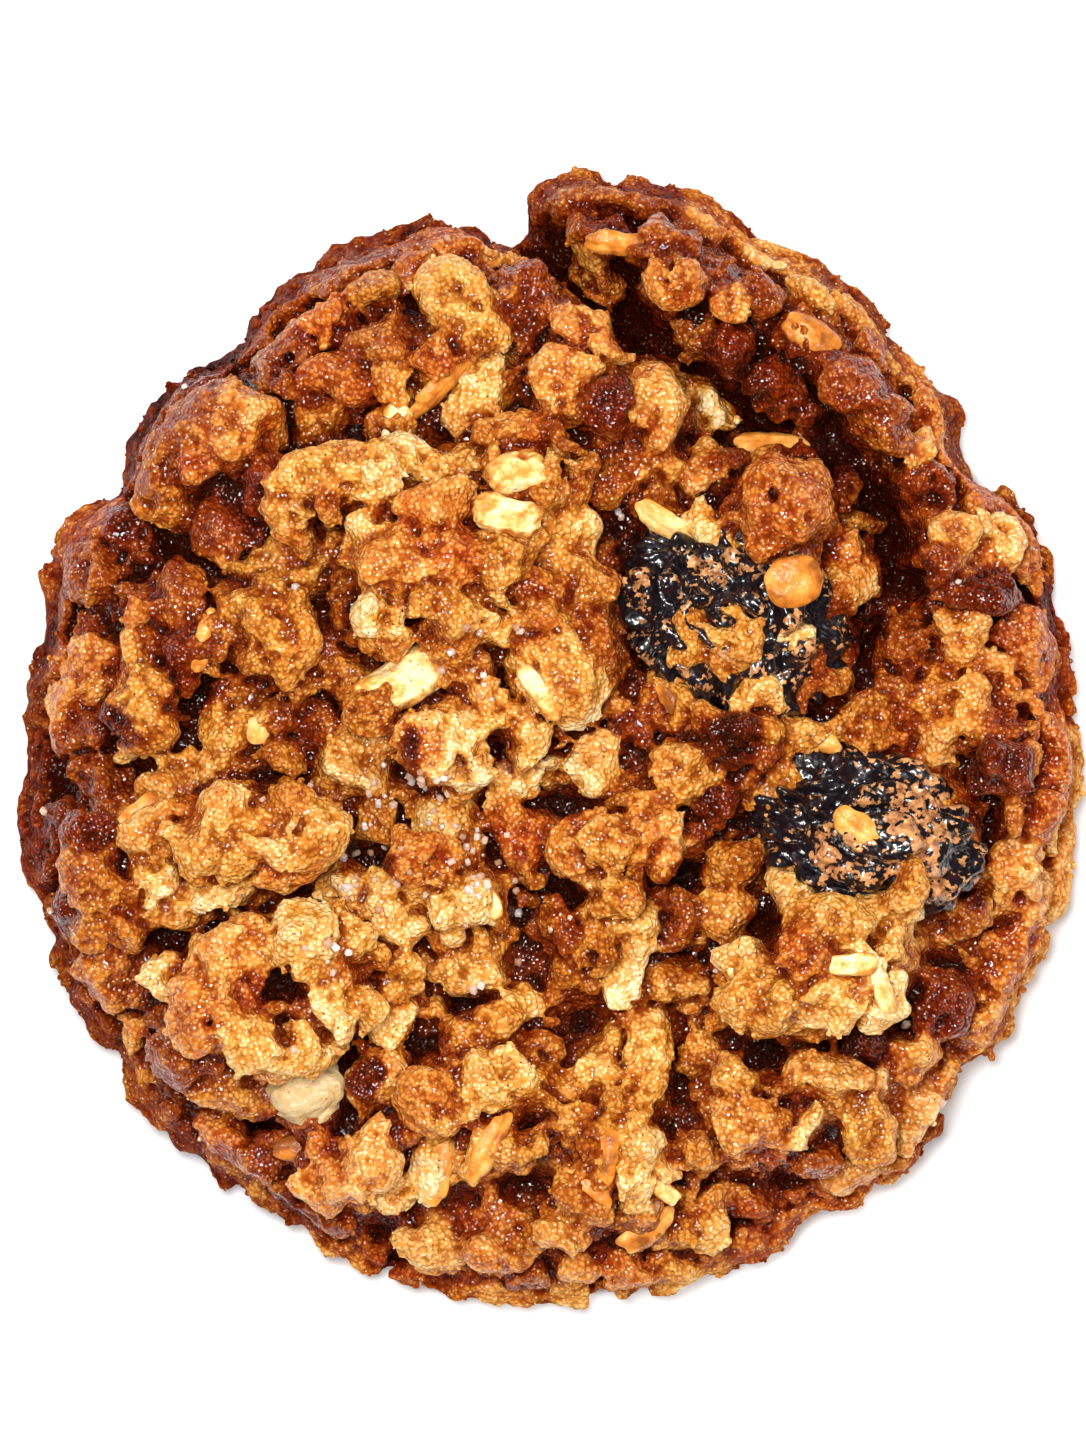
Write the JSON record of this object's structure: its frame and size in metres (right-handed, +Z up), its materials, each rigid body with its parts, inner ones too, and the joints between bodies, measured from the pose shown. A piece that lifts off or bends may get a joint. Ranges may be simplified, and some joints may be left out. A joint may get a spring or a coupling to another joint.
{
  "type": "apple crumble cookie",
  "caption": "Large round oat cookie with a heaped crumble top, split by a notch into two lobes, with raisins and diced apple baked in; rests on its flat underside.",
  "frame": {"origin": "middle of the flat underside", "axes": "+Z up through the thickness, +Y from the middle towards the notched edge, +X to the right of it seen from above"},
  "size_m": [0.106, 0.114, 0.0266],
  "materials": {
    "crumble": "baked oat crumble, golden brown with darker sticky hollows and a lightly glossy sugared skin",
    "raisin": "wrinkled near-black dried grape skin, glossy on its folds",
    "apple": "baked apple flesh, pale yellow and moist"
  },
  "bodies": {
    "root": {"cookie": "crumble", "raisin_1": "raisin", "raisin_2": "raisin", "apple_1": "apple", "apple_2": "apple", "apple_3": "apple", "apple_4": "apple"}
  },
  "joints": []
}
